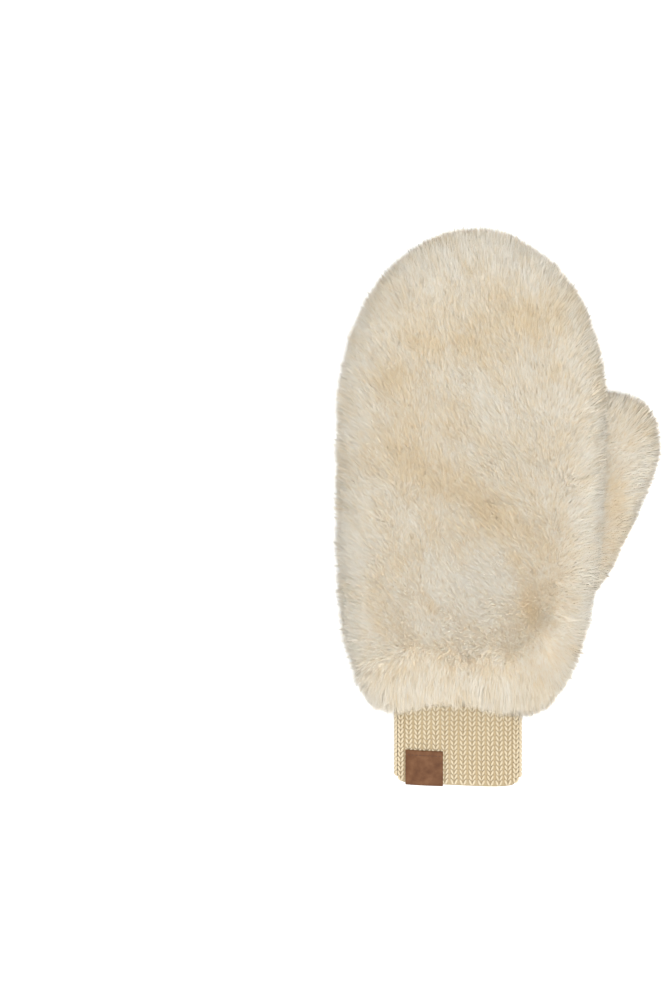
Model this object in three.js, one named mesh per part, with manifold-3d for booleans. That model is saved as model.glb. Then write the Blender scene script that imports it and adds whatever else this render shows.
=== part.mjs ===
// A left-hand fur mitten with a ribbed knit cuff, lying palm down on its thumb.
// Millimetres. +X is the thumb side, +Y runs from the cuff to the fingertips, +Z is up.
// The fur has its true outer form in tapered locks that are one body with the wall behind them.
// Inside is one hollow: wrist channel, hand room and thumb tunnel.
import * as THREE from "three";
import { mergeVertices } from "three/addons/utils/BufferGeometryUtils.js";
import Module from "manifold-3d";

const wasm = await Module();
wasm.setup();

// Hand, measured over the tips of the fur. Lengths along Y start at the cuff's lowest edge.
const HAND_WIDTH = 143;
const HAND_TIP = 292;
const HAND_THICKNESS = 61;
const HEM = 42;
const DOME_LENGTH = 97;
const NOSE_LENGTH = 48;
const HAND_EXPONENT = 2.3;
const MID_HEIGHT = 24;
const THUMB_SIDE_RISE = 26;
const FUR_DEPTH = 15;
const WALL = 3;
const THUMB_SIDE_PADDING = 8;
const ROOM_FLARE = 18;
const SEAM_GAP = 0.4;

// Thumb, measured over the fur.
const THUMB_WIDTH = 65;
const THUMB_THICKNESS = 42;
const THUMB_TIP_LENGTH = 29;
const THUMB_HEIGHT = 17;
const THUMB_FUR_DEPTH = 11;
const THUMB_WALL = 2.5;
const THUMB_EXPONENT = 2.4;
const THUMB_TAPER = 0.6;
const THUMB_GAP = 1.5;

// Locks of fur
const LOCK_PITCH = 9;
const LOCK_HEIGHT = 5;
const LOCK_LEAN = 6;
const NAP_TURN = 35;
const NAP_TURN_LENGTH = 50;
const FRINGE_DROP = 5;
const FRINGE_SIDE_DROP = 3.5;

// How uneven the locks are: shares of the lock's height, of the side fringe's drop and of the pitch, and
// a turn in radians
const LOCK_HEIGHT_MIDDLE = 0.85;
const LOCK_HEIGHT_SCATTER = 0.3;
const FRINGE_SCATTER = 0.6;
const LOCK_SHIFT_SCATTER = 0.35;
const LOCK_TURN_SCATTER = 0.04;

// The locks on the thumb take other scattered numbers than the hand's, from this column on.
const THUMB_SCATTER_COLUMN = 40;

// Lengths over curves that rows or columns of locks are laid along, as shares of the straight lengths:
// half way round the hand, up its round tip, once round the thumb, along it and up its round tip
const HAND_ARC = 1.25;
const DOME_ARC = 1.15;
const THUMB_ARC = 2.7;
const THUMB_LINE_ARC = 0.75;
const THUMB_TIP_ARC = 1.5;

// Knit cuff
const CUFF_WIDTH = 66;
const CUFF_THICKNESS = 21;
const CUFF_WALL = 2.6;
const CUFF_LENGTH = 58;
const CUFF_SHIFT = -5.7;
const CUFF_HEIGHT = 22;
const CUFF_EXPONENT = 2.8;
const RIB_COUNT = 36;
const RIB_DEPTH = 0.9;
const CUFF_CLEARANCE = 0.4;

// Leather tab, folded over the cuff's edge
const TAB_WIDTH = 19.5;
const TAB_FRONT = 18;
const TAB_BACK = 13;
const TAB_THICKNESS = 1.1;
const TAB_CORNER = 0.3;
const TAB_CLEARANCE = 0.35;
const TAB_COLUMN_COUNT = 6;

// Where the tab's middle is, from the cuff's middle, as a share of the cuff's width
const TAB_PLACE = -0.27;

// Hand sections from the hem to the start of the round tip. Along is a share of that length, width and
// thick are shares of the hand's half width and half thickness, shift is a share of the hand's width,
// mid is a share of the middle's height, and rise is a share of the rise on the thumb side.
const HAND_SECTIONS = [
  { along: 0.0, width: 0.675, thick: 0.7, shift: -0.034, mid: 0.92, rise: 0.2 },
  { along: 0.07, width: 0.78, thick: 0.8, shift: -0.03, mid: 0.93, rise: 0.28 },
  { along: 0.14, width: 0.85, thick: 0.87, shift: -0.024, mid: 0.95, rise: 0.38 },
  { along: 0.27, width: 0.925, thick: 0.95, shift: -0.021, mid: 0.98, rise: 0.62 },
  { along: 0.42, width: 0.97, thick: 1.0, shift: -0.014, mid: 1.0, rise: 0.88 },
  { along: 0.6, width: 0.993, thick: 1.0, shift: -0.007, mid: 1.0, rise: 1.0 },
  { along: 0.8, width: 1.0, thick: 1.0, shift: 0.0, mid: 1.0, rise: 1.0 },
  { along: 1.0, width: 1.0, thick: 1.0, shift: 0.005, mid: 1.0, rise: 0.92 },
];

// Where across the hand the rise starts and ends, as shares of its half width
const RISE_START = -0.3;
const RISE_END = 0.9;

// The round tip, from its start to the fingertips
const TIP_SECTIONS = [
  { along: 0.0, shift: 0.005, mid: 1.0, rise: 0.92 },
  { along: 0.5, shift: 0.013, mid: 1.0, rise: 0.62 },
  { along: 0.8, shift: 0.016, mid: 1.0, rise: 0.42 },
  { along: 1.0, shift: 0.019, mid: 0.95, rise: 0.35 },
];

// Thumb stations from the palm to the start of its round tip. Out, along and up are shares of the hand's
// half width, the hand's tip and the thumb's height; width and thick are shares of the thumb's own sizes.
// Locks is how far the fur's locks stand out there.
const THUMB_STATIONS = [
  { out: 0.3, along: 0.262, up: 1.9, width: 0.42, thick: 0.46, locks: 0.0 },
  { out: 0.385, along: 0.322, up: 1.24, width: 0.47, thick: 0.5, locks: 0.0 },
  { out: 0.575, along: 0.382, up: 0.95, width: 0.84, thick: 0.82, locks: 0.5 },
  { out: 0.71, along: 0.445, up: 0.87, width: 0.98, thick: 0.97, locks: 1.0 },
  { out: 0.84, along: 0.525, up: 0.85, width: 1.0, thick: 1.0, locks: 1.0 },
  { out: 0.945, along: 0.608, up: 0.85, width: 1.0, thick: 1.0, locks: 1.0 },
];
// The thumb piece starts at this station, its seat in the palm a little sooner, and the gusset round that
// seat sooner still. Before them the tunnel runs through the palm.
const THUMB_ROOT = 1;
const THUMB_SEAT = 0.95;
const GUSSET_START = 0.88;

// How deep the gusset is let into the wall round the hand's room
const GUSSET_LAP = 1;

// The cuff's lower edge, from its left side to its right. Across is a share of the half width.
const CUFF_EDGE = [
  { across: -1.0, up: 5.2 },
  { across: -0.94, up: 2.9 },
  { across: -0.8, up: 2.0 },
  { across: -0.25, up: 1.1 },
  { across: 0.2, up: 0.4 },
  { across: 0.6, up: 0.0 },
  { across: 0.86, up: 0.6 },
  { across: 0.95, up: 2.2 },
  { across: 1.0, up: 4.4 },
];

// Where along the cuff its rows of corners are
const CUFF_ROWS = [0, 0.04, 0.35, 0.68, 1];

// Points closer than this are one point.
const WELD = 1e-3;

// Small helpers
const clamp = THREE.MathUtils.clamp;
const mix = THREE.MathUtils.lerp;
const smooth = THREE.MathUtils.smoothstep;

// A table's columns at one place, on a curve that runs evenly through its rows.
function readTable(rows, key, at) {
  const last = rows.length - 1;
  const place = clamp(at, rows[0][key], rows[last][key]);
  let k = 0;
  while (k < last - 1 && place > rows[k + 1][key]) k += 1;
  const [a, b] = [rows[k], rows[k + 1]];
  const span = b[key] - a[key];
  const t = (place - a[key]) / span;
  const before = rows[Math.max(k - 1, 0)];
  const after = rows[Math.min(k + 2, last)];
  const found = {};
  for (const name of Object.keys(a)) {
    const slopeA = ((b[name] - before[name]) / (b[key] - before[key])) * span;
    const slopeB = ((after[name] - a[name]) / (after[key] - a[key])) * span;
    found[name] =
      a[name] * (2 * t ** 3 - 3 * t ** 2 + 1) +
      slopeA * (t ** 3 - 2 * t ** 2 + t) +
      b[name] * (-2 * t ** 3 + 3 * t ** 2) +
      slopeB * (t ** 3 - t ** 2);
  }
  return found;
}

// A repeatable number from -0.5 to 0.5 for lock (i, j).
function scatter(i, j, salt) {
  const s = Math.sin(i * 127.1 + j * 311.7 + salt * 74.7) * 43758.5453;
  return s - Math.floor(s) - 0.5;
}

// A point on a rounded oval with the given half width and half height.
function ovalPoint(angle, halfWidth, halfHeight, exponent) {
  const power = 2 / exponent;
  const c = Math.cos(angle);
  const s = Math.sin(angle);
  return {
    u: halfWidth * Math.sign(c) * Math.abs(c) ** power,
    v: halfHeight * Math.sign(s) * Math.abs(s) ** power,
  };
}

// Angles from start to end whose points lie evenly along the oval.
function evenAngles(start, end, halfWidth, halfHeight, exponent, count) {
  const fine = 720;
  const reached = [0];
  let previous = ovalPoint(start, halfWidth, halfHeight, exponent);
  for (let k = 1; k <= fine; k += 1) {
    const p = ovalPoint(mix(start, end, k / fine), halfWidth, halfHeight, exponent);
    reached.push(reached[k - 1] + Math.hypot(p.u - previous.u, p.v - previous.v));
    previous = p;
  }
  const angles = [];
  let k = 0;
  for (let n = 0; n <= count; n += 1) {
    const wanted = (reached[fine] * n) / count;
    while (k < fine && reached[k] < wanted) k += 1;
    angles.push(mix(start, end, k / fine));
  }
  return angles;
}

// Collects triangles. Quads are given corner by corner, counter-clockwise seen from outside.
class Skin {
  constructor() {
    this.points = [];
  }
  triangle(a, b, c) {
    if (a.distanceTo(b) < WELD || b.distanceTo(c) < WELD || c.distanceTo(a) < WELD) return;
    this.points.push(a, b, c);
  }
  quad(a, b, c, d) {
    this.triangle(a, b, c);
    this.triangle(a, c, d);
  }
  // One lock of fur: the quad rises to a single tip.
  lock(a, b, c, d, tip) {
    this.triangle(a, b, tip);
    this.triangle(b, c, tip);
    this.triangle(c, d, tip);
    this.triangle(d, a, tip);
  }
  geometry() {
    const flat = new THREE.BufferGeometry().setFromPoints(this.points);
    return mergeVertices(flat, WELD);
  }
}

function toSolid(geometry) {
  return new wasm.Manifold(
    new wasm.Mesh({
      numProp: 3,
      vertProperties: new Float32Array(geometry.attributes.position.array),
      triVerts: new Uint32Array(geometry.index.array),
    }),
  );
}

function toGeometry(solid) {
  const mesh = solid.getMesh();
  const geometry = new THREE.BufferGeometry();
  geometry.setAttribute("position", new THREE.BufferAttribute(mesh.vertProperties, 3));
  geometry.setIndex(new THREE.BufferAttribute(mesh.triVerts, 1));
  return geometry;
}

const average = (...points) =>
  points.reduce((sum, p) => sum.add(p), new THREE.Vector3()).divideScalar(points.length);

// Twice a quad's area, along its normal
const spread = (a, b, c, d) =>
  new THREE.Vector3().subVectors(c, a).cross(new THREE.Vector3().subVectors(d, b));

// The tip of the lock on a quad. It leans along the nap, and one that would reach below the floor is
// pressed flat.
function lockTip(corners, height, nap, i, j) {
  const centre = average(...corners);
  const out = spread(...corners);
  const cell = Math.min(Math.sqrt(out.length() / 2) / LOCK_PITCH, 1);
  out.normalize();
  const uneven = LOCK_HEIGHT_MIDDLE + LOCK_HEIGHT_SCATTER * scatter(i, j, 1);
  const wanted = height * cell * uneven;
  const reach = out.z < 0 ? Math.min(wanted, Math.max(centre.z, 0) / -out.z) : wanted;
  const flow = nap.clone().addScaledVector(out, -nap.dot(out));
  const lean = LOCK_LEAN * (reach / LOCK_HEIGHT);
  const tip = centre.clone().addScaledVector(out, reach).addScaledVector(flow, lean);
  tip.z = Math.max(tip.z, 0);
  return tip;
}

// Hand
const domeStart = HAND_TIP - DOME_LENGTH;
const noseStart = HAND_TIP - NOSE_LENGTH;

// The hand's middle line and half sizes at one length, inset from the fur's tips.
function handSection(y, inset) {
  const inDome = y > domeStart;
  const row = inDome
    ? readTable(TIP_SECTIONS, "along", (y - domeStart) / DOME_LENGTH)
    : readTable(HAND_SECTIONS, "along", (y - HEM) / (domeStart - HEM));
  const dome = Math.max(y - domeStart, 0) / (DOME_LENGTH - inset);
  const nose = Math.max(y - noseStart, 0) / (NOSE_LENGTH - inset);
  const width = (HAND_WIDTH / 2) * (inDome ? 1 : row.width) - inset;
  const thick = (HAND_THICKNESS / 2) * (inDome ? 1 : row.thick) - inset;
  return {
    centre: HAND_WIDTH * row.shift,
    mid: MID_HEIGHT * row.mid,
    rise: THUMB_SIDE_RISE * row.rise,
    halfWidth: width * Math.sqrt(Math.max(1 - dome ** 2, 0)),
    halfThick: thick * Math.sqrt(Math.max(1 - nose ** 2, 0)),
  };
}

// The height of the hand's middle surface, which the side seam follows. It climbs over the thumb.
function middleHeight(x, section) {
  const half = HAND_WIDTH / 2;
  return section.mid + section.rise * smooth(x, RISE_START * half, RISE_END * half);
}

function handPoint(y, angle, inset) {
  const section = handSection(y, inset);
  const { u, v } = ovalPoint(angle, section.halfWidth, section.halfThick, HAND_EXPONENT);
  const x = section.centre + u;
  return new THREE.Vector3(x, y, middleHeight(x, section) + v);
}

// Lengths of the rows: even up to the round tip, then even in angle round it.
function handRows(start, inset) {
  const straight = Math.round((domeStart - start) / LOCK_PITCH);
  const round = Math.round((DOME_ARC * DOME_LENGTH) / LOCK_PITCH);
  const tip = HAND_TIP - inset;
  const rows = [];
  for (let i = 0; i < straight; i += 1) rows.push(mix(start, domeStart, i / straight));
  for (let i = 0; i <= round; i += 1) {
    rows.push(mix(domeStart, tip, Math.sin((Math.PI / 2) * (i / round))));
  }
  return rows;
}

const valley = LOCK_HEIGHT;
const lining = FUR_DEPTH + WALL;
const halfRound = evenAngles(
  0,
  Math.PI,
  HAND_WIDTH / 2,
  HAND_THICKNESS / 2,
  HAND_EXPONENT,
  Math.round((HAND_ARC * HAND_WIDTH) / LOCK_PITCH),
);

// A point on the inside: the channel that grips the cuff, then the hand's room. Grow makes it larger.
function insidePoint(y, angle, grow) {
  const open = smooth(y, CUFF_LENGTH, CUFF_LENGTH + ROOM_FLARE);
  const room = handSection(y, lining);
  const padding = THUMB_SIDE_PADDING / 2;
  const tipShare = room.halfWidth / (HAND_WIDTH / 2 - lining);
  const roomWidth = Math.max(room.halfWidth - padding * Math.min(tipShare, 1), 0);
  const channel = {
    halfWidth: CUFF_WIDTH / 2 + CUFF_CLEARANCE,
    halfThick: CUFF_THICKNESS / 2 + CUFF_CLEARANCE,
  };
  const halfWidth = mix(channel.halfWidth, roomWidth, open);
  const halfThick = mix(channel.halfThick, room.halfThick, open);
  const exponent = mix(CUFF_EXPONENT, HAND_EXPONENT, open);
  const centre = mix(CUFF_SHIFT, room.centre - padding * Math.min(tipShare, 1), open);
  const { u, v } = ovalPoint(angle, halfWidth + grow, halfThick + grow, exponent);
  const x = centre + u;
  const middle = mix(CUFF_HEIGHT, middleHeight(x, room), open);
  return new THREE.Vector3(x, y, middle + v);
}

// One half of the hand, as a closed wall: side 1 is the back of the hand, side -1 the palm.
function handHalf(side) {
  const skin = new Skin();
  const rim = HEM + FRINGE_DROP;
  const outerRows = handRows(rim, valley);
  const innerRows = handRows(rim, lining);
  const last = outerRows.length - 1;
  const lift = new THREE.Vector3(0, 0, (side * SEAM_GAP) / 2);
  const outer = outerRows.map((y, i) =>
    halfRound.map((angle, j) => {
      const edge = i === 0 || i >= last - 1 || j === 0 || j === halfRound.length - 1;
      const along = edge ? 0 : LOCK_SHIFT_SCATTER * LOCK_PITCH * scatter(i, j, 2);
      const about = edge ? 0 : LOCK_TURN_SCATTER * scatter(i, j, 3);
      const p = handPoint(Math.min(y + along, HAND_TIP - valley), side * (angle + about), valley).add(lift);
      p.z = Math.max(p.z, 0);
      return p;
    }),
  );
  const inner = innerRows.map((y) =>
    halfRound.map((angle) => insidePoint(y, side * angle, 0).add(lift)),
  );
  const turned = ([a, b, c, d]) => (side > 0 ? [a, b, c, d] : [a, d, c, b]);
  for (let i = 0; i < last; i += 1) {
    // The nap runs down over the cuff near the hem, and up to the fingertips above it.
    const turn = smooth(outerRows[i] - HEM - NAP_TURN, -NAP_TURN_LENGTH / 2, NAP_TURN_LENGTH / 2);
    const nap = new THREE.Vector3(0, 2 * turn - 1, 0);
    for (let j = 0; j < halfRound.length - 1; j += 1) {
      const corners = turned([outer[i][j], outer[i + 1][j], outer[i + 1][j + 1], outer[i][j + 1]]);
      skin.lock(...corners, lockTip(corners, LOCK_HEIGHT, nap, i, j));
      skin.quad(...turned([inner[i][j], inner[i][j + 1], inner[i + 1][j + 1], inner[i + 1][j]]));
    }
    const end = halfRound.length - 1;
    skin.quad(...turned([outer[i][0], inner[i][0], inner[i + 1][0], outer[i + 1][0]]));
    skin.quad(...turned([outer[i][end], outer[i + 1][end], inner[i + 1][end], inner[i][end]]));
  }
  // The hem, whose locks hang over the cuff
  for (let j = 0; j < halfRound.length - 1; j += 1) {
    const corners = turned([outer[0][j], outer[0][j + 1], inner[0][j + 1], inner[0][j]]);
    const tip = average(...corners);
    const sideways = Math.abs(Math.cos((halfRound[j] + halfRound[j + 1]) / 2));
    tip.y -= FRINGE_DROP + FRINGE_SIDE_DROP * sideways * (1 + FRINGE_SCATTER * scatter(0, j, 4));
    skin.lock(...corners, tip);
  }
  return toSolid(skin.geometry());
}

// Thumb
function thumbCentre(station) {
  return new THREE.Vector3(
    station.out * (HAND_WIDTH / 2),
    station.along * HAND_TIP,
    station.up * THUMB_HEIGHT,
  );
}

const thumbLine = new THREE.CatmullRomCurve3(THUMB_STATIONS.map(thumbCentre));

// Rows of the thumb as tables of centre, direction and shares, from one station to the round tip's end.
function thumbRows(fromStation, inset, count, roundCount) {
  const lastStation = THUMB_STATIONS.length - 1;
  const rows = [];
  const rowAt = (t) => {
    const stations = THUMB_STATIONS.map((s, k) => ({ ...s, k: k / lastStation }));
    const shares = readTable(stations, "k", t);
    return { shares, centre: thumbLine.getPoint(t), along: thumbLine.getTangent(t) };
  };
  for (let i = 0; i < count; i += 1) {
    const t = mix(fromStation / lastStation, 1, i / count);
    const { shares, centre, along } = rowAt(t);
    rows.push({ centre, along, taper: 1, shares });
  }
  const end = rowAt(1);
  for (let i = 0; i <= roundCount; i += 1) {
    const turn = (Math.PI / 2) * (i / roundCount);
    rows.push({
      centre: end.centre.clone().addScaledVector(end.along, (THUMB_TIP_LENGTH - inset) * Math.sin(turn)),
      along: end.along,
      taper: Math.cos(turn) ** THUMB_TAPER,
      shares: end.shares,
    });
  }
  return rows;
}

function thumbPoint(row, angle, inset) {
  const halfWidth = ((THUMB_WIDTH / 2) * row.shares.width - inset) * row.taper;
  const halfThick = ((THUMB_THICKNESS / 2) * row.shares.thick - inset) * row.taper;
  const { u, v } = ovalPoint(angle, halfWidth, halfThick, THUMB_EXPONENT);
  const across = new THREE.Vector3(row.along.y, -row.along.x, 0).normalize();
  const up = new THREE.Vector3().crossVectors(across, row.along);
  return row.centre.clone().addScaledVector(across, u).addScaledVector(up, v);
}

const thumbRound = evenAngles(
  0,
  2 * Math.PI,
  THUMB_WIDTH / 2,
  THUMB_THICKNESS / 2,
  THUMB_EXPONENT,
  Math.round((THUMB_ARC * THUMB_WIDTH) / LOCK_PITCH),
);
thumbRound.pop();

// A closed tube over the thumb's rows. Inset is a function of the row; locked adds the fur's locks.
function thumbTube(rows, insetOf, locked, onFloor) {
  const skin = new Skin();
  const sides = thumbRound.length;
  const ring = rows.map((row) =>
    thumbRound.map((angle) => {
      const p = thumbPoint(row, angle, insetOf(row));
      if (onFloor) p.z = Math.max(p.z, 0);
      return p;
    }),
  );
  for (let i = 0; i < rows.length - 1; i += 1) {
    const height = LOCK_HEIGHT * rows[i].shares.locks;
    for (let j = 0; j < sides; j += 1) {
      const k = (j + 1) % sides;
      const corners = [ring[i][j], ring[i + 1][j], ring[i + 1][k], ring[i][k]];
      const column = j + THUMB_SCATTER_COLUMN;
      if (locked) skin.lock(...corners, lockTip(corners, height, rows[i].along, i, column));
      else skin.quad(...corners);
    }
  }
  const start = average(...ring[0]);
  for (let j = 0; j < sides; j += 1) skin.triangle(ring[0][j], ring[0][(j + 1) % sides], start);
  return toSolid(skin.geometry());
}

const thumbLining = THUMB_FUR_DEPTH + THUMB_WALL;
const straightRows = Math.round((THUMB_LINE_ARC * thumbLine.getLength()) / LOCK_PITCH);
const roundRows = Math.round((THUMB_TIP_ARC * THUMB_TIP_LENGTH) / LOCK_PITCH);
const lockDepth = (row) => LOCK_HEIGHT * row.shares.locks;
const tunnelDepth = (row) => THUMB_WALL + THUMB_FUR_DEPTH * row.shares.locks;

const thumbOuter = thumbTube(
  thumbRows(THUMB_ROOT, LOCK_HEIGHT, straightRows, roundRows),
  lockDepth,
  true,
  true,
);
// The thumb's form over the tips of its locks, grown by a margin
const thumbEnvelope = (fromStation, margin) =>
  thumbTube(thumbRows(fromStation, -margin, straightRows, roundRows), () => -margin, false, false);
const thumbTunnel = thumbTube(
  thumbRows(0, thumbLining, straightRows, roundRows),
  tunnelDepth,
  false,
  false,
);

// The space over the thumb's seam (side 1) or under it (side -1). The seam runs along the thumb's middle.
function thumbSpace(side) {
  const reach = HAND_WIDTH;
  const seam = thumbLine
    .getPoints(straightRows)
    .map((p) => new THREE.Vector2(p.y, p.z + (side * SEAM_GAP) / 2));
  const [first, last] = [seam[0], seam.at(-1)];
  const outline = new THREE.Shape([
    new THREE.Vector2(first.x - reach, first.y),
    ...seam,
    new THREE.Vector2(last.x + reach, last.y),
    new THREE.Vector2(last.x + reach, side * reach),
    new THREE.Vector2(first.x - reach, side * reach),
  ]);
  const block = new THREE.ExtrudeGeometry(outline, { depth: 2 * reach, bevelEnabled: false });
  block.deleteAttribute("normal");
  block.deleteAttribute("uv");
  block.rotateX(Math.PI / 2).rotateZ(Math.PI / 2);
  return toSolid(mergeVertices(block, WELD));
}

// The hand's room as a solid, grown into the wall round it
function handRoom(grow) {
  const skin = new Skin();
  const angles = [...halfRound, ...halfRound.slice(1, -1).map((angle) => angle + Math.PI)];
  const rings = handRows(HEM, lining).map((y) => angles.map((angle) => insidePoint(y, angle, grow)));
  const start = average(...rings[0]);
  const end = average(...rings.at(-1));
  for (let j = 0; j < angles.length; j += 1) {
    const k = (j + 1) % angles.length;
    for (let i = 0; i < rings.length - 1; i += 1) {
      skin.quad(rings[i][j], rings[i + 1][j], rings[i + 1][k], rings[i][k]);
    }
    skin.triangle(rings[0][j], rings[0][k], start);
    skin.triangle(rings.at(-1)[k], rings.at(-1)[j], end);
  }
  return toSolid(skin.geometry());
}

// Cuff
function cuffPoint(angle, along, depth) {
  const halfWidth = CUFF_WIDTH / 2 - depth;
  const halfThick = CUFF_THICKNESS / 2 - depth;
  const { u, v } = ovalPoint(angle, halfWidth, halfThick, CUFF_EXPONENT);
  const edge = readTable(CUFF_EDGE, "across", clamp(u / halfWidth, -1, 1)).up;
  return new THREE.Vector3(CUFF_SHIFT + u, mix(edge, CUFF_LENGTH, along), CUFF_HEIGHT + v);
}

function makeCuff() {
  const skin = new Skin();
  const columns = RIB_COUNT * 2;
  const angles = evenAngles(0, 2 * Math.PI, CUFF_WIDTH / 2, CUFF_THICKNESS / 2, CUFF_EXPONENT, columns);
  angles.pop();
  const ridge = (i, j) => (j % 2 ? RIB_DEPTH : 0) + (i === 0 ? RIB_DEPTH : 0);
  const outer = CUFF_ROWS.map((along, i) => angles.map((a, j) => cuffPoint(a, along, ridge(i, j))));
  const inner = CUFF_ROWS.map((along, i) =>
    angles.map((a) => cuffPoint(a, along, CUFF_WALL - (i === 0 ? RIB_DEPTH / 2 : 0))),
  );
  const end = CUFF_ROWS.length - 1;
  for (let j = 0; j < columns; j += 1) {
    const k = (j + 1) % columns;
    for (let i = 0; i < end; i += 1) {
      skin.quad(outer[i][j], outer[i + 1][j], outer[i + 1][k], outer[i][k]);
      skin.quad(inner[i][j], inner[i][k], inner[i + 1][k], inner[i + 1][j]);
    }
    skin.quad(outer[0][j], outer[0][k], inner[0][k], inner[0][j]);
    skin.quad(outer[end][j], inner[end][j], inner[end][k], outer[end][k]);
  }
  return toSolid(skin.geometry());
}

// Tab: one strip of leather, down the front of the cuff, round its edge and up the inside
function makeTab() {
  const skin = new Skin();
  const near = TAB_CLEARANCE;
  const far = TAB_CLEARANCE + TAB_THICKNESS;
  // The strip's length on one of its faces, from the front leaf's top. Up is above the cuff's edge, and depth
  // is behind its outside. The fold's corners are cut a little.
  const path = (offset) => [
    { up: TAB_FRONT, depth: -offset },
    { up: TAB_FRONT / 2, depth: -offset },
    { up: TAB_CORNER, depth: -offset },
    { up: -offset, depth: -TAB_CORNER },
    { up: -offset, depth: CUFF_WALL + TAB_CORNER },
    { up: TAB_CORNER, depth: CUFF_WALL + offset },
    { up: TAB_BACK, depth: CUFF_WALL + offset },
  ];
  const columns = TAB_COLUMN_COUNT;
  const leaf = (offset) => {
    const rows = path(offset);
    return rows.map(({ up, depth }) => {
      const row = [];
      for (let k = 0; k <= columns; k += 1) {
        const x = TAB_PLACE * CUFF_WIDTH + TAB_WIDTH * (k / columns - 0.5);
        const share = clamp(x / (CUFF_WIDTH / 2 - depth), -1, 1);
        const height = (1 - Math.abs(share) ** CUFF_EXPONENT) ** (1 / CUFF_EXPONENT);
        const v = (CUFF_THICKNESS / 2 - depth) * height;
        const edge = readTable(CUFF_EDGE, "across", x / (CUFF_WIDTH / 2)).up;
        row.push(new THREE.Vector3(CUFF_SHIFT + x, edge + up, CUFF_HEIGHT + v));
      }
      return row;
    });
  };
  const outside = leaf(far);
  const inside = leaf(near);
  const end = outside.length - 1;
  for (let i = 0; i < end; i += 1) {
    for (let k = 0; k < columns; k += 1) {
      skin.quad(outside[i][k], outside[i + 1][k], outside[i + 1][k + 1], outside[i][k + 1]);
      skin.quad(inside[i][k], inside[i][k + 1], inside[i + 1][k + 1], inside[i + 1][k]);
    }
    skin.quad(outside[i][0], inside[i][0], inside[i + 1][0], outside[i + 1][0]);
    skin.quad(outside[i][columns], outside[i + 1][columns], inside[i + 1][columns], inside[i][columns]);
  }
  for (let k = 0; k < columns; k += 1) {
    skin.quad(outside[0][k], outside[0][k + 1], inside[0][k + 1], inside[0][k]);
    skin.quad(outside[end][k], inside[end][k], inside[end][k + 1], outside[end][k + 1]);
  }
  return toSolid(skin.geometry());
}

// Assembly
const backPanel = handHalf(1);
const gusset = thumbEnvelope(GUSSET_START, THUMB_GAP + WALL).intersect(handRoom(GUSSET_LAP));
const palmPanel = handHalf(-1)
  .add(gusset)
  .subtract(thumbEnvelope(THUMB_SEAT, THUMB_GAP))
  .subtract(thumbTunnel);
const thumb = thumbOuter.subtract(thumbTunnel);
const thumbTop = thumb.intersect(thumbSpace(1));
const thumbUnderside = thumb.intersect(thumbSpace(-1));

const fur = new THREE.MeshStandardMaterial({ color: "#dccfb8", roughness: 0.95, metalness: 0 });
const knit = new THREE.MeshStandardMaterial({ color: "#d7c6a2", roughness: 0.9, metalness: 0 });
const leather = new THREE.MeshStandardMaterial({ color: "#875d41", roughness: 0.75, metalness: 0 });

const mitten = new THREE.Group();
const pieces = [
  ["back_panel", backPanel, fur],
  ["palm_panel", palmPanel, fur],
  ["thumb_top", thumbTop, fur],
  ["thumb_underside", thumbUnderside, fur],
  ["knit_cuff", makeCuff(), knit],
  ["leather_tab", makeTab(), leather],
];
for (const [name, solid, material] of pieces) {
  const mesh = new THREE.Mesh(toGeometry(solid), material);
  mesh.name = name;
  mitten.add(mesh);
}

// The origin is under the middle of the whole mitten, on the surface that it lies on.
const bounds = new THREE.Box3().setFromObject(mitten, true);
const middle = bounds.getCenter(new THREE.Vector3());
mitten.position.set(-middle.x, -middle.y, -bounds.min.z);

export default mitten;
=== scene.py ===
"""A fur mitten lying palm down, with a ribbed knit cuff and a bare leather tab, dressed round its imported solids."""

import math

import bmesh
import bpy
import numpy as np
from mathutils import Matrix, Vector


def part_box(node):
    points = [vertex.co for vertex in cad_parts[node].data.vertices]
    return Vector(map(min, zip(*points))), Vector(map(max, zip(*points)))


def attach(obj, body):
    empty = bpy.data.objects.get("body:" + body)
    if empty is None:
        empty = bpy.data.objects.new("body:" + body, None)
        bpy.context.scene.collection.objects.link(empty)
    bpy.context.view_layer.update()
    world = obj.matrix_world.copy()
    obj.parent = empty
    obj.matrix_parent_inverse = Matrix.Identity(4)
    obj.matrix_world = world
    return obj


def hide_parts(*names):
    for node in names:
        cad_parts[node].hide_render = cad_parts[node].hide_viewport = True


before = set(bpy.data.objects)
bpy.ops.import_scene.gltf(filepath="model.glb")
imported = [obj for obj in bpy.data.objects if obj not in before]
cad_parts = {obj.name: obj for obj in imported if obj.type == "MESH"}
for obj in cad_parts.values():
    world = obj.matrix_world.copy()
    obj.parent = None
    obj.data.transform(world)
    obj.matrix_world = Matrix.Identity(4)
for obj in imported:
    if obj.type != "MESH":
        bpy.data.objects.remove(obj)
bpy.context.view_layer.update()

# Sizes are in millimetres. The mitten's own frame has x = 0 on the hand's middle line, y = 0 at the cuff's
# edge and z = 0 on the floor, and to_row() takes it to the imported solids' frame.
MM = 0.001

# Hand
HAND_WIDTH = 143
HAND_TIP = 292
HAND_THICKNESS = 61
HEM = 42
DOME_LENGTH = 97
NOSE_LENGTH = 48
HAND_EXPONENT = 2.3
MID_HEIGHT = 24
THUMB_SIDE_RISE = 26
RISE_START = -0.3
RISE_END = 0.9
FUR_DEPTH = 15
WALL = 3

# Thumb
THUMB_WIDTH = 65
THUMB_THICKNESS = 42
THUMB_TIP_LENGTH = 29
THUMB_HEIGHT = 17
THUMB_EXPONENT = 2.4
THUMB_TAPER = 0.6

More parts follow.
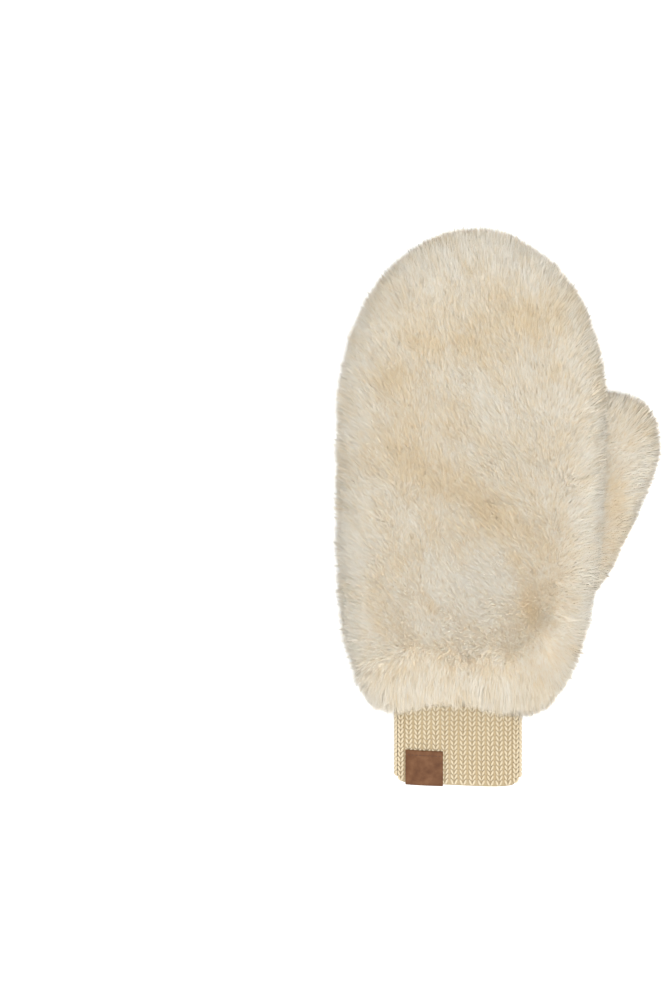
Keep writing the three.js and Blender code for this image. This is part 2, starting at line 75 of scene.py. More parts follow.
# Knit cuff
CUFF_WIDTH = 66
CUFF_THICKNESS = 21
CUFF_WALL = 2.6
CUFF_LENGTH = 58
CUFF_SHIFT = -5.7
CUFF_HEIGHT = 22
CUFF_EXPONENT = 2.8
CUFF_CLEARANCE = 0.4
RIB_COUNT = 32

# Along, width, thickness, shift, middle and rise, from the hem to the start of the round tip
HAND_SECTIONS = [
    (0.0, 0.675, 0.7, -0.034, 0.92, 0.2),
    (0.07, 0.78, 0.8, -0.03, 0.93, 0.28),
    (0.14, 0.85, 0.87, -0.024, 0.95, 0.38),
    (0.27, 0.925, 0.95, -0.021, 0.98, 0.62),
    (0.42, 0.97, 1.0, -0.014, 1.0, 0.88),
    (0.6, 0.993, 1.0, -0.007, 1.0, 1.0),
    (0.8, 1.0, 1.0, 0.0, 1.0, 1.0),
    (1.0, 1.0, 1.0, 0.005, 1.0, 0.92),
]
# The same columns over the round tip
TIP_SECTIONS = [
    (0.0, 1.0, 1.0, 0.005, 1.0, 0.92),
    (0.5, 1.0, 1.0, 0.013, 1.0, 0.62),
    (0.8, 1.0, 1.0, 0.016, 1.0, 0.42),
    (1.0, 1.0, 1.0, 0.019, 0.95, 0.35),
]
# Station number, out, along, up, width and thickness, from the palm to the start of the round tip
THUMB_STATIONS = [
    (0, 0.3, 0.262, 1.9, 0.42, 0.46),
    (1, 0.385, 0.322, 1.24, 0.47, 0.5),
    (2, 0.575, 0.382, 0.95, 0.84, 0.82),
    (3, 0.71, 0.445, 0.87, 0.98, 0.97),
    (4, 0.84, 0.525, 0.85, 1.0, 1.0),
    (5, 0.945, 0.608, 0.85, 1.0, 1.0),
]
# Across the cuff, and how high its edge is there
CUFF_EDGE = [
    (-1.0, 5.2),
    (-0.94, 2.9),
    (-0.8, 2.0),
    (-0.25, 1.1),
    (0.2, 0.4),
    (0.6, 0.0),
    (0.86, 0.6),
    (0.95, 2.2),
    (1.0, 4.4),
]

# Pile: how deep it is over the backing, and how many strands each panel has
HAND_PILE = 9.5
THUMB_PILE = 8.0
HEM_PILE = 7.0
# Guard hairs are bent and have three faces each. Wool strands are straight and have one.
BACK_GUARD, BACK_WOOL, BACK_WOOL_PIECES = 42000, 370000, 2
PALM_GUARD, PALM_WOOL, PALM_WOOL_PIECES = 18000, 130000, 1
THUMB_GUARD, THUMB_WOOL, THUMB_WOOL_PIECES = 16000, 130000, 1

# Patches in the pile of the back of the hand: x, y, radius across, radius along, turn in degrees, how tan. Some are
# the pile's own tan. The ones in the creases, at the parting above the fringe and over the fringe are painted shade,
# and the pale ones down the left and right sides are painted light.
BACK_TAN_SHADE_AND_LIGHT = [
    (10.7, 237, 34, 14, 0, 0.75),
    (-20.5, 225.7, 6, 6, 0, 1.0),
    (-29, 229, 6, 4, -20, 0.7),
    (-38.7, 208.5, 13, 9, 30, 0.7),
    (-36, 185, 9, 28, 0, 0.45),
    (-8, 156, 46, 24, -12, 0.42),
    # The next seven rows are painted shade in the creases across the hand and beside the thumb.
    (-22, 160, 17, 7, -35, 0.45),
    (8, 143, 19, 7, -35, 0.5),
    (32, 126, 21, 9, -38, 0.75),
    (38, 108, 8, 14, 10, 0.42),
    (28, 96, 8, 12, -10, 0.6),
    (24.2, 117.5, 4, 4, 0, 0.8),
    (31.5, 92, 3, 6, 0, 0.9),
    (-44, 102, 9, 13, 0, 0.35),
    (-20.5, 91.5, 4, 5, 0, 0.5),
    (43, 210, 3, 4, 0, 0.6),
    (1.3, 263.6, 5, 3, 0, 0.5),
    # Painted shade at the parting above the fringe.
    (10, 63, 14, 3.5, -8, 0.6),
    (-38, 62, 11, 5, 20, 0.4),
    (2, 98, 24, 22, 0, -0.55),
    # The next three rows are painted light: paler down the right and left sides.
    (60, 125, 12, 75, 0, -0.35),
    (-58, 80, 14, 36, 0, -0.35),
    (-58, 150, 8, 60, 0, -0.3),
    # Painted shade over the fringe, which hangs out into more light.
    (0, 47, 50, 8, 0, 0.3),
    (0, 275, 60, 14, 0, -0.2),
]
# The same for the palm. The narrow patch across the dent at 5.7, 186 is painted shade.
PALM_TAN_AND_SHADE = [
    (5.7, 216, 34, 28, 0, 0.75),
    (5.7, 186, 18, 6, 10, 0.7),
    (-7, 89, 12, 14, 0, 0.6),
    (-20, 130, 20, 20, 0, 0.3),
]
# The same for the thumb. The two tan patches by the hand's edge are painted shade in the crease where thumb and hand
# meet.
THUMB_TAN_AND_SHADE = [
    (75, 146, 5, 16, 0, 0.6),
    (68, 124, 6, 8, 0, 0.4),
    (92, 150, 8, 40, -10, -0.3),
]
# Deeper and shallower places in the thumb's pile, in the same columns: how much of the pile is gone
THUMB_HOLLOWS = [
    (88, 198, 13, 13, 0, -0.5),
    (92, 165, 12, 22, 0, -0.3),
    (80, 120, 9, 13, 0, 0.35),
]
# Hollows in the back's pile, in the same columns
BACK_HOLLOWS = [
    (-68, 112, 12, 62, 0, 0.27),
    (-20.5, 225.7, 6, 6, 0, 0.42),
    (-8, 158, 20, 5, -30, 0.08),
    (14, 140, 17, 4, -35, 0.16),
    (32, 122, 15, 5, -40, 0.16),
    (38, 108, 5, 9, 10, 0.14),
    (30, 94, 4, 9, -10, 0.14),
    (-44, 102, 6, 9, 0, 0.06),
    (10, 62, 17, 3, -8, 0.2),
    (10.7, 237, 30, 10, 0, 0.06),
    (5, 96, 18, 17, 0, -0.14),
    (-26, 281, 9, 9, 0, 0.22),
    (31, 281, 8, 9, 0, 0.22),
]
# How far strands lean towards the fingertips, against the place along the hand
NAP = [
    (36, -8.5),
    (48, -7.5),
    (56, -5.0),
    (62, -1.8),
    (69, 1.5),
    (80, 2.8),
    (110, 3.0),
    (150, 3.0),
    (200, 3.6),
    (292, 4.0),
]

# How much further the hem's fringe hangs down over the cuff, against the place across the hand
FRINGE = [
    (-56, 0.5),
    (-47, 2.0),
    (-38, 3.6),
    (-27, 1.2),
    (-14, 0.0),
    (-3, 0.4),
    (8, 2.4),
    (20, 5.2),
    (31, 6.0),
    (39, 3.0),
    (48, 0.5),
]

rng = np.random.default_rng(7)
cuff_low, cuff_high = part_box("knit_cuff")
SHIFT = np.array([CUFF_SHIFT - (cuff_low.x + cuff_high.x) / (2 * MM), -cuff_low.y / MM, 0.0])


def to_row(points):
    """Points of the mitten's own frame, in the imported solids' frame in metres."""
    return (np.asarray(points) - SHIFT) * MM


def read_table(rows, at):
    """A table's columns at the given places, on a curve that runs evenly through its rows."""
    rows = np.asarray(rows, float)
    place = np.clip(np.asarray(at, float), rows[0, 0], rows[-1, 0])
    k = np.clip(np.searchsorted(rows[:, 0], place) - 1, 0, len(rows) - 2)
    a, b = rows[k], rows[k + 1]
    before, after = rows[np.maximum(k - 1, 0)], rows[np.minimum(k + 2, len(rows) - 1)]
    span = b[..., :1] - a[..., :1]
    t = (place[..., None] - a[..., :1]) / span
    slope_a = (b - before) / (b[..., :1] - before[..., :1]) * span
    slope_b = (after - a) / (after[..., :1] - a[..., :1]) * span
    return (
        a * (2 * t**3 - 3 * t**2 + 1)
        + slope_a * (t**3 - 2 * t**2 + t)
        + b * (3 * t**2 - 2 * t**3)
        + slope_b * (t**3 - t**2)
    )


def smoothstep(x, low, high):
    t = np.clip((x - low) / (high - low), 0, 1)
    return t * t * (3 - 2 * t)


def oval(angle, half_width, half_height, exponent):
    """A point on a rounded oval."""
    c, s = np.cos(angle), np.sin(angle)
    power = 2 / exponent
    return half_width * np.sign(c) * np.abs(c) ** power, half_height * np.sign(s) * np.abs(s) ** power


def even_angles(half_width, half_height, exponent, count):
    """Angles once round an oval whose points lie evenly along it. The last closes the ring."""
    fine = np.linspace(0, 2 * np.pi, 4001)
    u, v = oval(fine, half_width, half_height, exponent)
    length = np.concatenate([[0], np.cumsum(np.hypot(np.diff(u), np.diff(v)))])
    return np.interp(np.linspace(0, length[-1], count + 1), length, fine)


def unit(vectors):
    return vectors / np.maximum(np.linalg.norm(vectors, axis=-1, keepdims=True), 1e-9)


DOME_START = HAND_TIP - DOME_LENGTH
NOSE_START = HAND_TIP - NOSE_LENGTH


def hand_section(y, inset):
    """The hand's middle line and half sizes at lengths y, inset from the pile's tips."""
    y = np.asarray(y, float)
    body = read_table(HAND_SECTIONS, (y - HEM) / (DOME_START - HEM))
    tip = read_table(TIP_SECTIONS, (y - DOME_START) / DOME_LENGTH)
    row = np.where((y > DOME_START)[..., None], tip, body)
    dome = np.maximum(y - DOME_START, 0) / (DOME_LENGTH - inset)
    nose = np.maximum(y - NOSE_START, 0) / (NOSE_LENGTH - inset)
    half_width = (HAND_WIDTH / 2 * row[..., 1] - inset) * np.sqrt(np.maximum(1 - dome**2, 0))
    half_thick = (HAND_THICKNESS / 2 * row[..., 2] - inset) * np.sqrt(np.maximum(1 - nose**2, 0))
    return HAND_WIDTH * row[..., 3], MID_HEIGHT * row[..., 4], THUMB_SIDE_RISE * row[..., 5], half_width, half_thick


def middle_height(x, mid, rise):
    half = HAND_WIDTH / 2
    return mid + rise * smoothstep(x, RISE_START * half, RISE_END * half)


def hand_points(y, angle, inset):
    centre, mid, rise, half_width, half_thick = hand_section(y, inset)
    u, v = oval(angle, half_width, half_thick, HAND_EXPONENT)
    x = centre + u
    return np.stack([x, np.broadcast_to(y, x.shape), middle_height(x, mid, rise) + v], -1)


def room_points(y, angle):
    """The lining: the channel round the cuff, then the hand's room."""
    open_ = smoothstep(y, CUFF_LENGTH, CUFF_LENGTH + 18)
    centre, mid, rise, half_width, half_thick = hand_section(y, FUR_DEPTH + WALL)
    half_width = (1 - open_) * (CUFF_WIDTH / 2 + CUFF_CLEARANCE) + open_ * half_width
    half_thick = (1 - open_) * (CUFF_THICKNESS / 2 + CUFF_CLEARANCE) + open_ * half_thick
    exponent = CUFF_EXPONENT + (HAND_EXPONENT - CUFF_EXPONENT) * open_
    u, v = oval(angle, half_width, half_thick, exponent)
    x = (1 - open_) * CUFF_SHIFT + open_ * centre + u
    middle = (1 - open_) * CUFF_HEIGHT + open_ * middle_height(x, mid, rise)
    return np.stack([x, np.broadcast_to(y, x.shape), middle + v], -1)


def hand_rows(start, inset, straight, rounded):
    """Lengths of rows: even up to the round tip, then even in angle round it."""
    tip = HAND_TIP - inset
    flat = np.linspace(start, DOME_START, straight, endpoint=False)
    return np.concatenate([flat, DOME_START + (tip - DOME_START) * np.sin(np.linspace(0, np.pi / 2, rounded + 1))])


def thumb_frame(t):
    """The thumb's middle line at stations t: centre, direction, across, up, half width and half thickness."""
    scale = np.array([HAND_WIDTH / 2, HAND_TIP, THUMB_HEIGHT])
    row = read_table(THUMB_STATIONS, t)
    ahead = read_table(THUMB_STATIONS, np.minimum(t + 0.02, len(THUMB_STATIONS) - 1))
    behind = read_table(THUMB_STATIONS, np.maximum(t - 0.02, 0))
    along = unit((ahead - behind)[..., 1:4] * scale)
    across = unit(np.stack([along[..., 1], -along[..., 0], np.zeros(along.shape[:-1])], -1))
    up = np.cross(across, along)
    return row[..., 1:4] * scale, along, across, up, THUMB_WIDTH / 2 * row[..., 4], THUMB_THICKNESS / 2 * row[..., 5]


def thumb_grid(inset, straight, rounded, sides):
    """A grid of points round the thumb, from its root to the end of its round tip."""
    last = len(THUMB_STATIONS) - 1
    turn = np.linspace(0, np.pi / 2, rounded + 1)
    t = np.concatenate([np.linspace(0.8, last, straight, endpoint=False), np.full(rounded + 1, last)])
    ahead = np.concatenate([np.zeros(straight), (THUMB_TIP_LENGTH - inset) * np.sin(turn)])
    taper = np.concatenate([np.ones(straight), np.maximum(np.cos(turn), 0) ** THUMB_TAPER])
    centre, along, across, up, half_width, half_thick = thumb_frame(t)
    angle = even_angles(THUMB_WIDTH / 2, THUMB_THICKNESS / 2, THUMB_EXPONENT, sides)
    u, v = oval(angle[None], ((half_width - inset) * taper)[:, None], ((half_thick - inset) * taper)[:, None], THUMB_EXPONENT)
    centre = centre + along * ahead[:, None]
    return centre[:, None] + across[:, None] * u[..., None] + up[:, None] * v[..., None]


def grid_normals(grid, closed):
    """Unit normals of a grid of points. A closed grid's last column is its first again."""
    down = np.gradient(grid, axis=0)
    if closed:
        ring = np.concatenate([grid[:, -2:-1], grid, grid[:, 1:2]], axis=1)
        around = (ring[:, 2:] - ring[:, :-2]) / 2
    else:
        around = np.gradient(grid, axis=1)
    return unit(np.cross(down, around))


def wave_noise(points, wavelength, seed, count=14):
    """Smooth noise from about -1 to 1: a sum of plane waves."""
    draw = np.random.default_rng(seed)
    directions = unit(draw.normal(size=(count, 3)))
    lengths = wavelength * draw.uniform(0.7, 1.5, count)
    phases = draw.uniform(0, 2 * np.pi, count)
    waves = np.sin(points @ (directions * (2 * np.pi / lengths)[:, None]).T + phases)
    return waves.sum(-1) * math.sqrt(2 / count) / 1.6


def patch_sum(points, patches):
    """The sum of soft oval patches at the points' x and y."""
    total = np.zeros(len(points))
    for x, y, across, along, turn, strength in patches:
        c, s = math.cos(math.radians(turn)), math.sin(math.radians(turn))
        dx, dy = points[:, 0] - x, points[:, 1] - y
        u, v = (c * dx + s * dy) / across, (c * dy - s * dx) / along
        total += strength * np.exp(-(u**2 + v**2))
    return total


def tuft_centres(points, cell):
    """The nearest of many scattered centres to each point, and three numbers from 0 to 1 that its tuft shares."""
    base = np.floor(points / cell)
    nearest = np.full(len(points), np.inf)
    found, shared = np.zeros_like(points), np.zeros_like(points)
    offsets = np.stack(np.meshgrid(*[(-1, 0, 1)] * 3, indexing="ij"), -1).reshape(-1, 3)
    salts = np.array([[127.1, 311.7, 74.7], [269.5, 183.3, 246.1], [113.5, 271.9, 124.6]])
    for offset in offsets:
        corner = base + offset
        jitter = np.modf(np.abs(np.sin(corner @ salts.T) * 43758.5453))[0]
        centre = (corner + jitter) * cell
        distance = ((centre - points) ** 2).sum(1)
        closer = distance < nearest
        nearest[closer], found[closer], shared[closer] = distance[closer], centre[closer], jitter[closer]
    shared = np.modf(shared * 7.31)[0]
    return found, shared


def make_piece(name, points, quads, triangles, uv=None):
    """A mesh object of quads and triangles, from points of the mitten's own frame."""
    mesh = bpy.data.meshes.new(name)
    quads = np.asarray(quads, np.int32).reshape(-1, 4)
    triangles = np.asarray(triangles, np.int32).reshape(-1, 3)
    corners = np.concatenate([quads.ravel(), triangles.ravel()])
    starts = np.concatenate([np.arange(len(quads)) * 4, quads.size + np.arange(len(triangles)) * 3])
    mesh.vertices.add(len(points))
    mesh.vertices.foreach_set("co", to_row(points).astype(np.float32).ravel())
    mesh.loops.add(len(corners))
    mesh.loops.foreach_set("vertex_index", corners)
    mesh.polygons.add(len(starts))
    mesh.polygons.foreach_set("loop_start", starts.astype(np.int32))
    mesh.update(calc_edges=True)
    if uv is not None:
        layer = mesh.uv_layers.new(name="OFBake")
        layer.data.foreach_set("uv", np.asarray(uv, np.float32).ravel())
    mesh.polygons.foreach_set("use_smooth", np.ones(len(starts), bool))
    piece = bpy.data.objects.new(name, mesh)
    bpy.context.scene.collection.objects.link(piece)
    return piece


def grid_quads(rows, columns, first=0):
    """Quads of a grid of points that is numbered row by row."""
    i, j = np.meshgrid(np.arange(rows - 1), np.arange(columns - 1), indexing="ij")
    a = first + i * columns + j
    return np.stack([a, a + 1, a + columns + 1, a + columns], -1).reshape(-1, 4)


# Materials


def new_material(name):
    material = bpy.data.materials.new(name)
    material.use_nodes = True
    nodes, links = material.node_tree.nodes, material.node_tree.links
    nodes.clear()
    output = nodes.new("ShaderNodeOutputMaterial")
    shader = nodes.new("ShaderNodeBsdfPrincipled")
    links.new(shader.outputs[0], output.inputs[0])
    return material, nodes, links, shader, output


def srgb(red, green, blue):
    """A colour given as screen values from 0 to 255."""
    values = [c / 255 for c in (red, green, blue)]
    return [c / 12.92 if c <= 0.04045 else ((c + 0.055) / 1.055) ** 2.4 for c in values] + [1.0]


def ramp(nodes, links, source, stops):
    node = nodes.new("ShaderNodeValToRGB")
    elements = node.color_ramp.elements
    while len(elements) < len(stops):
        elements.new(0.5)
    for element, (place, colour) in zip(elements, stops):
        element.position = place
        element.color = colour
    links.new(source, node.inputs[0])
    return node.outputs[0]


def mix_colours(nodes, links, factor, a, b):
    node = nodes.new("ShaderNodeMix")
    node.data_type = "RGBA"
    links.new(factor, node.inputs[0])
    for socket, value in ((node.inputs[6], a), (node.inputs[7], b)):
        if isinstance(value, bpy.types.NodeSocket):
            links.new(value, socket)
        else:
            socket.default_value = value
    return node.outputs[2]


ROOT = srgb(234, 216, 188)
PALE_MIDDLE = srgb(247, 239, 222)
PALE_TIP = srgb(252, 248, 238)
TAN_MIDDLE = srgb(232, 210, 172)
TAN_TIP = srgb(243, 227, 197)


def strand_material():
    """Pile strands: the map's first axis is the strand's tone, its second runs from root to tip."""
    material, nodes, links, shader, _ = new_material("fur_strands")
    place = nodes.new("ShaderNodeUVMap")
    place.uv_map = "OFBake"
    split = nodes.new("ShaderNodeSeparateXYZ")
    links.new(place.outputs[0], split.inputs[0])
    pale = ramp(nodes, links, split.outputs[1], [(0.0, ROOT), (0.45, PALE_MIDDLE), (1.0, PALE_TIP)])
    tan = ramp(nodes, links, split.outputs[1], [(0.0, ROOT), (0.55, TAN_MIDDLE), (1.0, TAN_TIP)])
    colour = mix_colours(nodes, links, split.outputs[0], pale, tan)
    links.new(colour, shader.inputs["Base Color"])
    shader.inputs["Roughness"].default_value = 0.6
    shader.inputs["Specular IOR Level"].default_value = 0.25
    facing = nodes.new("ShaderNodeAttribute")
    facing.attribute_name = "facing"
    links.new(facing.outputs["Vector"], shader.inputs["Normal"])
    return material


def noise_texture(nodes, links, scale, detail=4.0):
    place = nodes.new("ShaderNodeTexCoord")
    node = nodes.new("ShaderNodeTexNoise")
    node.inputs["Scale"].default_value = scale
    node.inputs["Detail"].default_value = detail
    links.new(place.outputs["Object"], node.inputs["Vector"])
    return node.outputs["Fac"]


def add_bump(nodes, links, shader, height, strength, distance):
    bump = nodes.new("ShaderNodeBump")
    bump.inputs["Strength"].default_value = strength
    bump.inputs["Distance"].default_value = distance
    links.new(height, bump.inputs["Height"])
    links.new(bump.outputs[0], shader.inputs["Normal"])


def backing_material():
    """The pile's dense underwool and the backing it grows from."""
    material, nodes, links, shader, _ = new_material("fur_underwool")
    fine = noise_texture(nodes, links, 900)
    colour = ramp(nodes, links, fine, [(0.35, srgb(232, 214, 184)), (0.65, srgb(244, 232, 210))])
    links.new(colour, shader.inputs["Base Color"])
    shader.inputs["Roughness"].default_value = 0.95
    shader.inputs["Specular IOR Level"].default_value = 0.1
    add_bump(nodes, links, shader, fine, 0.6, 0.0008)
    return material


def knit_material(name, shade_tint):
    """Yarn: fine twisted fibres with a little wool fuzz. Its colour is multiplied by the shade tint: below one, it is
    painted shade for the purl wall deep in the recesses between the ribs.
    """
    material, nodes, links, shader, _ = new_material(name)
    broad = noise_texture(nodes, links, 60, 3.0)
    fibres = noise_texture(nodes, links, 2600, 3.0)
    base = ramp(nodes, links, broad, [(0.3, srgb(205, 190, 160)), (0.7, srgb(213, 200, 172))])
    light = ramp(nodes, links, fibres, [(0.3, srgb(188, 171, 141)), (0.7, srgb(221, 209, 185))])
    half = nodes.new("ShaderNodeMix")
    half.data_type = "RGBA"
    half.inputs[0].default_value = 0.5
    links.new(base, half.inputs[6])
    links.new(light, half.inputs[7])
    tinted = nodes.new("ShaderNodeMix")
    tinted.data_type = "RGBA"
    tinted.blend_type = "MULTIPLY"
    tinted.inputs[0].default_value = 1.0
    tinted.inputs[7].default_value = shade_tint
    links.new(half.outputs[2], tinted.inputs[6])
    links.new(tinted.outputs[2], shader.inputs["Base Color"])
    shader.inputs["Roughness"].default_value = 0.9
    shader.inputs["Specular IOR Level"].default_value = 0.15
    shader.inputs["Sheen Weight"].default_value = 0.15
    shader.inputs["Sheen Roughness"].default_value = 0.5
    add_bump(nodes, links, shader, fibres, 0.5, 0.0003)
    return material


def leather_material():
    """Brown leather with a fine grain and a mottled dye."""
    material, nodes, links, shader, _ = new_material("tab_leather")
    dye = noise_texture(nodes, links, 260, 5.0)
    grain = nodes.new("ShaderNodeTexVoronoi")
    grain.inputs["Scale"].default_value = 1500
    place = nodes.new("ShaderNodeTexCoord")
    links.new(place.outputs["Object"], grain.inputs["Vector"])
    colour = ramp(
        nodes, links, dye, [(0.3, srgb(90, 59, 40)), (0.5, srgb(102, 69, 47)), (0.72, srgb(115, 81, 57))]
    )
    links.new(colour, shader.inputs["Base Color"])
    shader.inputs["Roughness"].default_value = 0.65
    shader.inputs["Specular IOR Level"].default_value = 0.12
    add_bump(nodes, links, shader, grain.outputs["Distance"], 0.35, 0.0002)
    return material


def plain_material(name, colour, roughness):
    material, nodes, links, shader, _ = new_material(name)
    speckle = noise_texture(nodes, links, 500)
    dark = [c * 0.9 for c in colour[:3]] + [1.0]
    links.new(ramp(nodes, links, speckle, [(0.3, dark), (0.7, colour)]), shader.inputs["Base Color"])
    shader.inputs["Roughness"].default_value = roughness
    return material


# Backing


def shell(name, outer, inner, reverse):
    """A closed wall between two grids of the same size, with its rims closed."""
    rows, columns = outer.shape[:2]
    points = np.concatenate([outer.reshape(-1, 3), inner.reshape(-1, 3)])
    count = rows * columns
    out = grid_quads(rows, columns)
    back = grid_quads(rows, columns, count)[:, ::-1]
    faces = [out, back]
    top = np.arange(columns - 1)
    faces.append(np.stack([top, top + count, top + count + 1, top + 1], -1))
    side = np.arange(rows - 1) * columns
    faces.append(np.stack([side, side + columns, side + columns + count, side + count], -1))
    end = side + columns - 1
    faces.append(np.stack([end, end + count, end + columns + count, end + columns], -1))
    quads = np.concatenate(faces)
    if reverse:
        quads = quads[:, ::-1]
    piece = make_piece(name, points, quads, [])
    weld(piece)
    return piece


def weld(piece):
    """Merges points that lie in one place, as at a pole."""
    bm = bmesh.new()
    bm.from_mesh(piece.data)
    bmesh.ops.remove_doubles(bm, verts=bm.verts, dist=0.00002)
    bmesh.ops.dissolve_degenerate(bm, edges=bm.edges, dist=0.00001)
    bmesh.ops.recalc_face_normals(bm, faces=bm.faces)
    bm.to_mesh(piece.data)
    bm.free()


def on_floor(points, height):
    points[..., 2] = np.maximum(points[..., 2], height)
    return points


SIDES = 96
HAND_ROOT = HAND_PILE
ring = even_angles(HAND_WIDTH / 2, HAND_THICKNESS / 2, HAND_EXPONENT, SIDES)
HEM_ROOT = HEM + 6
outer_rows = hand_rows(HEM_ROOT, HAND_ROOT, 56, 36)
inner_rows = hand_rows(HEM_ROOT, FUR_DEPTH + WALL, 56, 36)
hand_outer = on_floor(hand_points(outer_rows[:, None], ring[None], HAND_ROOT), 3.0)
hand_inner = room_points(inner_rows[:, None], ring[None])
RIM_STEPS = 6
rim_shares = np.linspace(0, 1, RIM_STEPS, endpoint=False)[:, None, None]
rim = hand_inner[:1] + (hand_outer[:1] - hand_inner[:1]) * rim_shares
coat_grid = np.concatenate([rim, hand_outer])
coat_normals = grid_normals(coat_grid, True)
thumb_root = on_floor(thumb_grid(THUMB_PILE, 34, 20, 60), 2.5)
thumb_normals = grid_normals(thumb_root, True)


def thumb_depth(points, margin):
    """How far inside the thumb's backing points are, as a share: over 1 is outside."""
    best = np.full(len(points), np.inf)
    least = np.full(len(points), np.inf)
    t = np.linspace(1, len(THUMB_STATIONS) - 1, 40)
    centre, along, across, up, half_width, half_thick = thumb_frame(t)
    for k in range(len(t)):
        offset = points - centre[k]
        w = np.abs(offset @ along[k])
        ahead = np.zeros(len(points))
        if k == len(t) - 1:
            ahead = np.maximum(offset @ along[k], 0) / THUMB_TIP_LENGTH
        if k == 0:
            ahead = np.maximum(-(offset @ along[k]), 0) / 4
        u = (offset @ across[k]) / (half_width[k] + margin)
        v = (offset @ up[k]) / (half_thick[k] + margin)
        value = np.abs(u) ** THUMB_EXPONENT + np.abs(v) ** THUMB_EXPONENT + ahead**2
        closer = w < least
        least = np.where(closer, w, least)
        best = np.where(closer, value, best)
    return best


def hand_depth(points, inset):
    """The same for the hand, inset from the pile's tips."""
    centre, mid, rise, half_width, half_thick = hand_section(points[:, 1], inset)
    u = (points[:, 0] - centre) / np.maximum(half_width, 0.1)
    v = (points[:, 2] - middle_height(points[:, 0], mid, rise)) / np.maximum(half_thick, 0.1)
    value = np.abs(u) ** HAND_EXPONENT + np.abs(v) ** HAND_EXPONENT
    return np.where(points[:, 1] < HEM_ROOT, np.inf, value)


# Strands


def scatter_roots(grid, normals, count):
    """Roots spread evenly over a grid's area, with the normals there."""
    a, b, c, d = grid[:-1, :-1], grid[1:, :-1], grid[1:, 1:], grid[:-1, 1:]
    area = np.linalg.norm(np.cross(c - a, d - b), axis=-1).ravel()
    total = np.cumsum(area)
    picks = np.searchsorted(total, (np.arange(count) + rng.random(count)) / count * total[-1])
    i, j = np.divmod(np.minimum(picks, len(area) - 1), grid.shape[1] - 1)
    s, t = rng.random((2, count, 1))

    def between(field):
        near = field[i, j] * (1 - t) + field[i, j + 1] * t
        far = field[i + 1, j] * (1 - t) + field[i + 1, j + 1] * t
        return near * (1 - s) + far * s

    return between(grid), unit(between(normals))


TUFT = 1.5
GUARD_WIDTH = 0.25
WOOL_WIDTH = 0.38
MAP_STRIP = 0.01
SHADE_STRAY = 0.48
SKY_TURN = 0.27
LONG_SHARE = 0.2
PARTING_WAVE = 5


def strand_mesh(name, roots, middles, tips, side, facing, shade, material):
    """One piece of strands: a straight strand is a triangle, and one with a middle has a quad under it.

    Every strand takes the light as the coat's own surface does, by normals that face as the coat faces.
    """
    count = len(roots)
    left, right = shade - MAP_STRIP, shade + MAP_STRIP
    zero, half, one = np.zeros(count), np.full(count, 0.5), np.ones(count)
    if middles is None:
        points = np.stack([roots - side, roots + side, tips], 1)
        quads, triangles = [], np.arange(count)[:, None] * 3 + np.array([0, 1, 2])
        uv = np.stack([left, zero, right, zero, shade, one], -1).reshape(-1, 2)
    else:
        points = np.stack([roots - side, roots + side, middles + side, middles - side, tips], 1)
        first = np.arange(count)[:, None] * 5
        quads, triangles = first + np.array([0, 1, 2, 3]), first + np.array([3, 2, 4])
        quad_uv = np.stack([left, zero, right, zero, right, half, left, half], -1).reshape(-1, 2)
        tri_uv = np.stack([left, half, right, half, shade, one], -1).reshape(-1, 2)
        uv = np.concatenate([quad_uv, tri_uv])
    piece = make_piece(name, points.reshape(-1, 3), quads, triangles, uv)
    facing = np.repeat(facing, points.shape[1], axis=0).astype(np.float32)
    piece.data.normals_split_custom_set_from_vertices(facing)
    layer = piece.data.attributes.new("facing", "FLOAT_VECTOR", "POINT")
    layer.data.foreach_set("vector", facing.ravel())
    piece.data.materials.append(material)
    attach(piece, "root")


